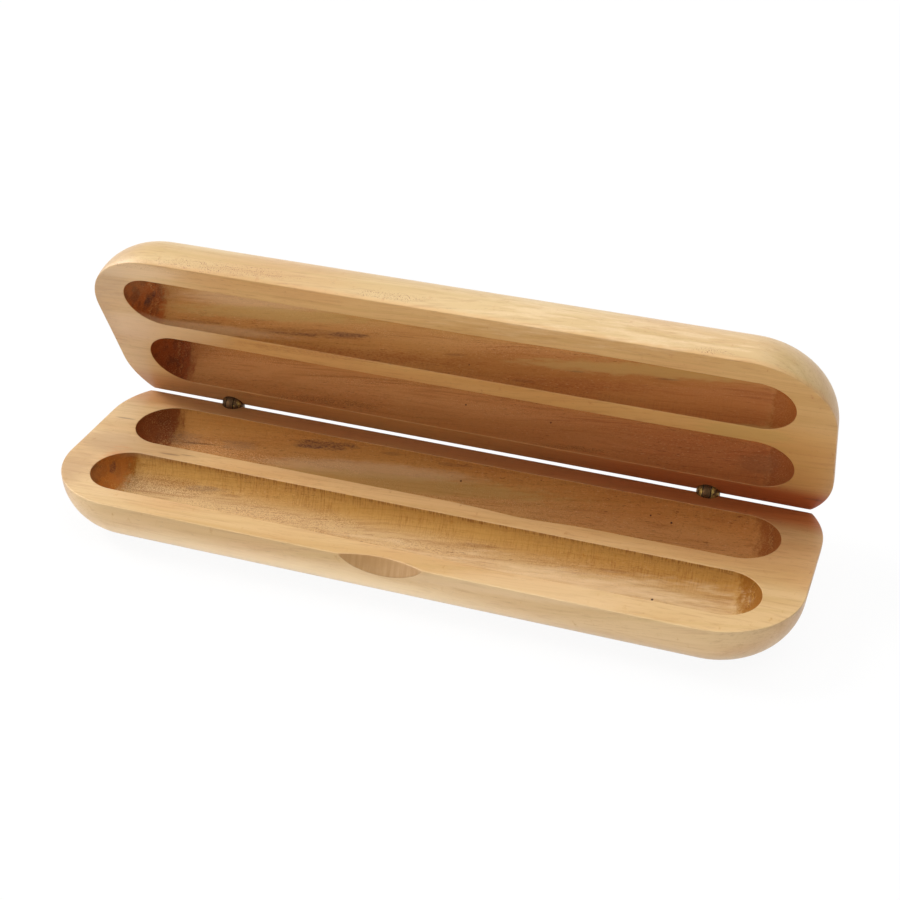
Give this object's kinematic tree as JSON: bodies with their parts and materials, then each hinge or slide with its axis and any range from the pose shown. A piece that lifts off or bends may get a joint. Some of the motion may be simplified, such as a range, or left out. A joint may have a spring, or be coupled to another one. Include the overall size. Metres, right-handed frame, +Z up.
{
  "type": "pen box",
  "caption": "Hinged hardwood pen box, shown open, with round-bottomed pen wells side by side in base and lid, a thumb notch and small brass barrel hinges.",
  "frame": {"origin": "middle of the flat underside that the box rests on", "axes": "+X along the box, with the thumb notch facing -Y; +Y towards the hinges; +Z up, out of the base's wells"},
  "size_m": [0.175, 0.063, 0.0624],
  "materials": {
    "hardwood": "satin lacquer",
    "antique_brass": "antique, darkened"
  },
  "bodies": {
    "base": {"base_block": "hardwood", "hinge_fork_left": "antique_brass", "hinge_fork_right": "antique_brass", "hinge_pin_left": "antique_brass", "hinge_pin_right": "antique_brass"},
    "lid": {"lid_block": "hardwood", "hinge_tongue_left": "antique_brass", "hinge_tongue_right": "antique_brass"}
  },
  "joints": [
    {"name": "lid_hinge", "type": "hinge", "parent": "base", "child": "lid", "pos_m": [0, 0.02268, 0.01405], "axis": [-1, 0, 0], "range_deg": [-64, 26]}
  ]
}
